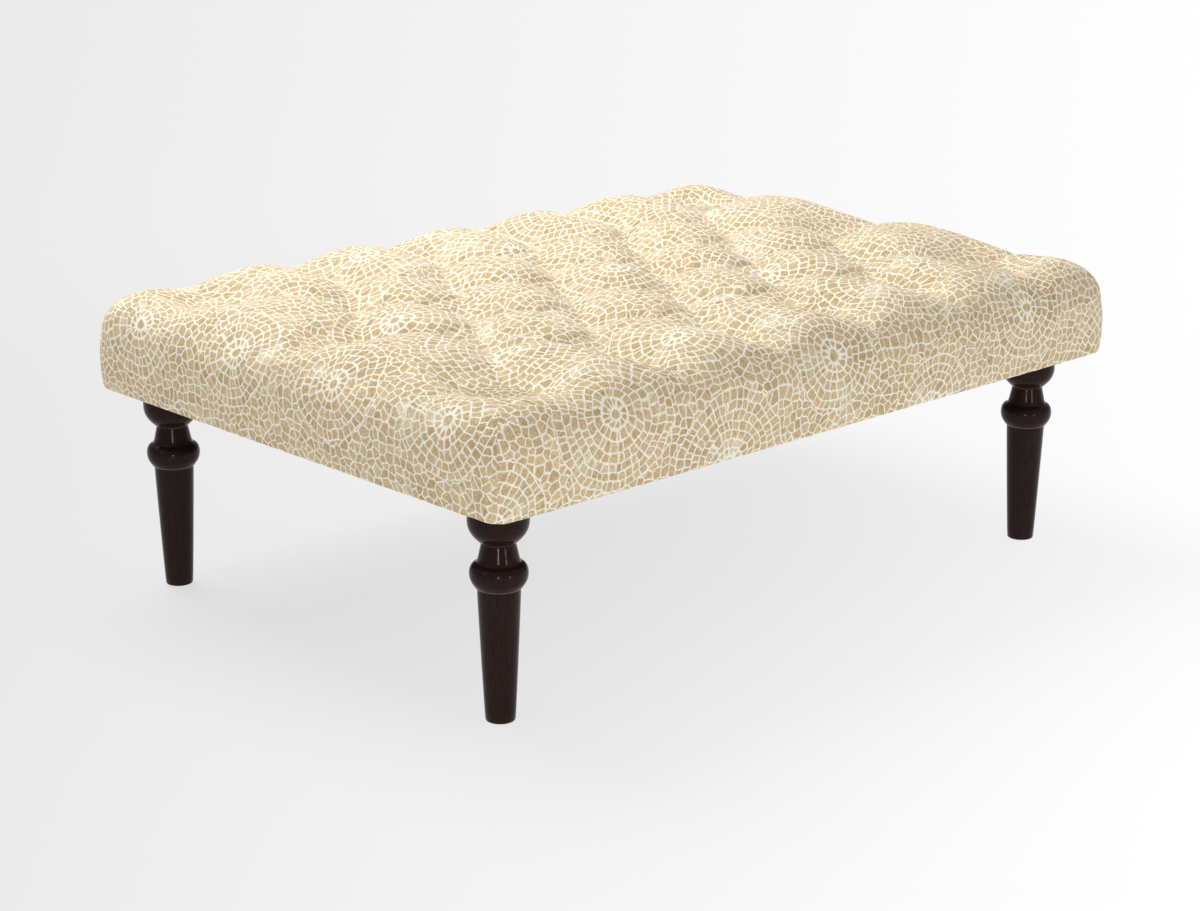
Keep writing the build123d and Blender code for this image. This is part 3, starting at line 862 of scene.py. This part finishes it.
# Dust cover: half its length and width, its corner's radius, its lower face and its thickness, its sag, hem
# and puckers, half the squares that are kept clear for the legs, and the holes' radius
COVER_X = 0.593
COVER_Y = 0.416
COVER_CORNER = 0.040
COVER_BOTTOM = 0.2980
COVER_THICKNESS = 0.0008
COVER_SAG = 0.0022
COVER_HEM = 0.0004
COVER_PUCKER = 0.0005
HOLE_SQUARE = 0.040
HOLE_RADIUS = 0.030

# Staples: their wire, their length, the step from one to the next, and how far in they stand
STAPLE_WIRE = 0.0007
STAPLE_LENGTH = 0.0115
STAPLE_STEP = 0.045
STAPLE_INSET = 0.009


def cover_height(x, y):
    """Lower face of the dust cover: a slight sag, the doubled hem and the pull of the staples."""
    from_end = COVER_X - np.abs(x)
    from_front = COVER_Y - np.abs(y)
    edge = np.minimum(from_end, from_front)
    sag = COVER_SAG * smooth(edge, 0.02, 0.30)
    hem = COVER_HEM * (1 - smooth(edge, STAPLE_INSET, 0.012))
    along = np.where(from_end < from_front, y, x)
    pull = COVER_PUCKER * smooth(edge, 0.008, 0.03) * (1 - smooth(edge, 0.04, 0.11))
    return COVER_BOTTOM - sag - hem - pull * np.cos(along * 2 * math.pi / STAPLE_STEP)


def cover_stops(half, leg):
    """Grid lines of the dust cover along one axis, closer together beside the legs."""
    outer = np.linspace(leg + HOLE_SQUARE, half, 4)
    square = np.linspace(leg - HOLE_SQUARE, leg + HOLE_SQUARE, 9)
    middle = np.linspace(HOLE_SQUARE - leg, leg - HOLE_SQUARE, 41)
    return np.concatenate([-outer[:0:-1], -square[:0:-1], middle, square[1:], outer[1:]])


def make_dust_cover():
    """Thin cloth over the underside: a grid with a square left out at each leg, filled round a circle.

    Beyond each corner's middle a square of the grid is drawn in to a quarter of a disc: both distances
    are divided by their length and multiplied by the greater one.
    """
    xs, ys = cover_stops(COVER_X, LEG_X), cover_stops(COVER_Y, LEG_Y)
    grid_x, grid_y = np.meshgrid(xs, ys)
    plan = np.column_stack([grid_x.ravel(), grid_y.ravel()])
    number = np.arange(plan.shape[0]).reshape(len(ys), len(xs))
    quads = np.stack([number[:-1, :-1], number[1:, :-1], number[1:, 1:], number[:-1, 1:]], -1)
    clear_x = np.abs(np.abs(xs[:-1] + xs[1:]) / 2 - LEG_X) < HOLE_SQUARE
    clear_y = np.abs(np.abs(ys[:-1] + ys[1:]) / 2 - LEG_Y) < HOLE_SQUARE
    faces = [quads[~(clear_y[:, None] & clear_x[None])]]
    plans = [plan]
    for leg in np.array([(-LEG_X, -LEG_Y), (-LEG_X, LEG_Y), (LEG_X, -LEG_Y), (LEG_X, LEG_Y)]):
        rim = np.flatnonzero(np.abs(np.abs(plan - leg).max(1) - HOLE_SQUARE) < 1e-6)
        arm = plan[rim] - leg
        order = np.argsort(np.arctan2(arm[:, 1], arm[:, 0]))
        rim, arm = rim[order], arm[order]
        circle = arm / np.linalg.norm(arm, axis=1, keepdims=True) * HOLE_RADIUS
        loops = [rim]
        for share in (0.4, 0.75, 1.0):
            loops.append(sum(len(p) for p in plans) + np.arange(len(rim)))
            plans.append(arm + (circle - arm) * share + leg)
        for outer, inner in zip(loops, loops[1:]):
            faces.append(quads_between(outer, inner))
    plan = np.vstack(plans)
    middle = np.array([COVER_X - COVER_CORNER, COVER_Y - COVER_CORNER])
    past = np.maximum(np.abs(plan) - middle, 0)
    length = np.linalg.norm(past, axis=1, keepdims=True)
    past *= past.max(1, keepdims=True) / np.maximum(length, 1e-9)
    plan = np.sign(plan) * (np.minimum(np.abs(plan), middle) + past)
    z = cover_height(plan[:, 0], plan[:, 1])
    piece = mesh_piece("dust_cloth_cover", np.column_stack([plan, z]), np.vstack(faces))
    wall = piece.modifiers.new("thickness", "SOLIDIFY")
    wall.thickness = COVER_THICKNESS
    wall.offset = -1
    bake_modifiers(piece)
    return piece


def make_staples():
    """Wire staples round the dust cover: flat bars, each turned and moved a little by sines of its place."""
    spots = []
    for half_along, half_off, turned in ((COVER_X, COVER_Y, 0), (COVER_Y, COVER_X, 1)):
        count = int(2 * half_along / STAPLE_STEP)
        along = np.linspace(STAPLE_STEP - half_along, half_along - STAPLE_STEP, count)
        for side in (-1, 1):
            sway = 0.0012 * np.sin(along * 91 + side) + 0.0007 * np.sin(along * 233)
            skew = 0.12 * np.sin(along * 57 + side)
            off = side * (half_off - STAPLE_INSET) + sway
            spots.append(np.column_stack([along, off, skew, np.full(count, turned)]))
    spots = np.vstack(spots)
    box = np.array([(x, y, z) for x in (-0.5, 0.5) for y in (-0.5, 0.5) for z in (-0.5, 0.5)])
    places = box[None] * np.array([STAPLE_LENGTH, STAPLE_WIRE, STAPLE_WIRE])
    cos, sin = np.cos(spots[:, 2])[:, None], np.sin(spots[:, 2])[:, None]
    along = places[..., 0] * cos - places[..., 1] * sin + spots[:, :1]
    off = places[..., 0] * sin + places[..., 1] * cos + spots[:, 1:2]
    turned = spots[:, 3:] > 0.5
    x, y = np.where(turned, -off, along), np.where(turned, along, off)
    z = places[..., 2] + cover_height(x, y).mean(1, keepdims=True) - STAPLE_WIRE / 2
    cube = np.array([(0, 1, 3, 2), (4, 6, 7, 5), (0, 4, 5, 1), (2, 3, 7, 6), (0, 2, 6, 4), (1, 5, 7, 3)])
    faces = (np.arange(len(spots))[:, None, None] * 8 + cube[None]).reshape(-1, 4)
    return mesh_piece("dust_cover_staples", np.stack([x, y, z], -1).reshape(-1, 3), faces)


# Where the lamps stand, their sizes and watts; all look at a point within the ottoman
TOP_LIGHT = (-0.2, 1.5, 2.75)
TOP_POWER = 89
LOOKED_AT = (0, 0, 0.35)
LAMPS = (("top_light", TOP_LIGHT, (2.0, 2.0), TOP_POWER),
         ("key_light", (-3.0, 0.4, 2.0), (1.2, 1.2), 5),
         ("front_light", (1.2, -4.0, 1.5), (2.0, 2.0), 5),
         ("strip_before", (-2.93, -2.9, 0.75), (0.24, 0.6), 18),
         ("strip_beside", (-0.48, -3.96, 0.75), (0.3, 0.6), 12))

# Floor: half its width, the share of light it returns, and its glow at the left and right of the picture,
# by the share of the way ahead that a place lies to the side; then the sky's light, and as the camera sees it
FLOOR_REACH = 30.0
FLOOR_SHARE = 0.138
GLOW_LEFT = 0.765
GLOW_RIGHT = 0.938
GLOW_SIDE_SHARE = 0.22
LEAST_AHEAD = 2.5
SKY_LIGHT = 0.42
SKY_SEEN = 0.85


def floor_finish():
    """Matt paper, lit mostly by its own glow, that grows lighter from the left to the right.

    The glow follows the angle round the eye, less what the top light adds: its power over pi squared,
    times its height, times the depth before it, over the fourth power of the distance.
    """
    paper = Finish("studio_paper")
    place = paper.coordinates()
    arm = paper.vector("SUBTRACT", place, EYE)
    aside = paper.vector("DOT_PRODUCT", arm, RIGHT)
    ahead = paper.vector("DOT_PRODUCT", arm, AHEAD)
    share = paper.sum("DIVIDE", aside, paper.sum("MAXIMUM", ahead, LEAST_AHEAD))
    light = paper.node("ShaderNodeMapRange", {"Value": share, "From Min": -GLOW_SIDE_SHARE,
                                              "From Max": GLOW_SIDE_SHARE, "To Min": GLOW_LEFT,
                                              "To Max": GLOW_RIGHT}).outputs[0]
    beam = (Vector(LOOKED_AT) - Vector(TOP_LIGHT)).normalized()
    down = paper.vector("SUBTRACT", place, TOP_LIGHT)
    depth = paper.vector("DOT_PRODUCT", down, tuple(beam))
    far = paper.vector("DOT_PRODUCT", down, down)
    lamp = paper.sum("DIVIDE", depth, paper.sum("MULTIPLY", far, far))
    added = FLOOR_SHARE * TOP_POWER / math.pi**2 * TOP_LIGHT[2]
    light = paper.sum("SUBTRACT", light, paper.sum("MULTIPLY", lamp, added))
    return paper.surface(Base_Color=(FLOOR_SHARE, FLOOR_SHARE, FLOOR_SHARE, 1), Roughness=1.0,
                         Specular_IOR_Level=0.0, Emission_Color=(1, 1, 1, 1), Emission_Strength=light)


def make_studio():
    """Glowing floor, even light all round, and the lamps."""
    corners = np.array([[-1, -1, 0], [1, -1, 0], [1, 1, 0], [-1, 1, 0]]) * FLOOR_REACH
    floor = mesh_piece("floor", corners, [[0, 1, 2, 3]])
    floor.data.materials.append(floor_finish())
    world = bpy.data.worlds.new("studio")
    bpy.context.scene.world = world
    world.use_nodes = True
    nodes, links = world.node_tree.nodes, world.node_tree.links
    sky = nodes["Background"]
    sky.inputs[0].default_value = (1, 1, 1, 1)
    seen = nodes.new("ShaderNodeMapRange")
    links.new(nodes.new("ShaderNodeLightPath").outputs["Is Camera Ray"], seen.inputs[0])
    seen.inputs["To Min"].default_value = SKY_LIGHT
    seen.inputs["To Max"].default_value = SKY_SEEN
    links.new(seen.outputs[0], sky.inputs[1])
    for name, place, size, power in LAMPS:
        lamp = bpy.data.objects.new(name, bpy.data.lights.new(name, "AREA"))
        lamp.data.shape = "RECTANGLE"
        lamp.data.size, lamp.data.size_y = size
        lamp.data.energy = power
        lamp.location = place
        lamp.rotation_euler = (Vector(LOOKED_AT) - Vector(place)).to_track_quat("-Z", "Y").to_euler()
        lamp.visible_camera = False
        bpy.context.scene.collection.objects.link(lamp)


def place_piece(piece, finish, smooth_faces=True, stands_for=None):
    """Gives a piece its finish and slot, lets it ride, and hides the nodes that it stands for."""
    piece.data.materials.append(finish)
    piece.data.polygons.foreach_set("use_smooth", [smooth_faces] * len(piece.data.polygons))
    if stands_for:
        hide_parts(stands_for)
    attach(piece, "root")


make_camera()
make_studio()
bpy.context.scene.view_settings.view_transform = "Standard"

cushion = make_cushion()
place_piece(cushion, mosaic_finish(), stands_for="fabric_cover")
place_piece(make_legs(), lacquer_finish(), stands_for="legs")
place_piece(make_staples(), steel_finish(), smooth_faces=False)
dust_cloth = make_dust_cover()
place_piece(dust_cloth, dust_cloth_finish(), stands_for="dust_cover")

pine = ((214, 178, 130), (176, 134, 88))
rail_wood = sawn_wood_finish("rail_wood", *pine, 0)
cross_wood = sawn_wood_finish("cross_wood", *pine, 1)
steel = steel_finish()
node_finishes = {
    "wrap_foam": foam_finish("soft_foam", (240, 234, 214)),
    "core_foam": foam_finish("firm_foam", (228, 216, 178)),
    "deck_panel": sawn_wood_finish("plywood", (212, 184, 140), (184, 150, 104), 0),
    "tuft_ties": twine_finish(),
    "tie_toggles": sawn_wood_finish("toggle_wood", (188, 152, 108), (150, 112, 72), 0),
    "hanger_bolts": steel,
    "plate_nuts": steel,
    "glides": glide_finish(),
}
for side in ("front", "back"):
    for name in ("rail", "left_corner_block", "right_corner_block"):
        node_finishes[f"{side}_{name}"] = rail_wood
for side in ("left", "right"):
    for name in ("rail", "cross_rail"):
        node_finishes[f"{side}_{name}"] = cross_wood
for name, finish in node_finishes.items():
    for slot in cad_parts[name].material_slots:
        slot.link = "OBJECT"
        slot.material = finish
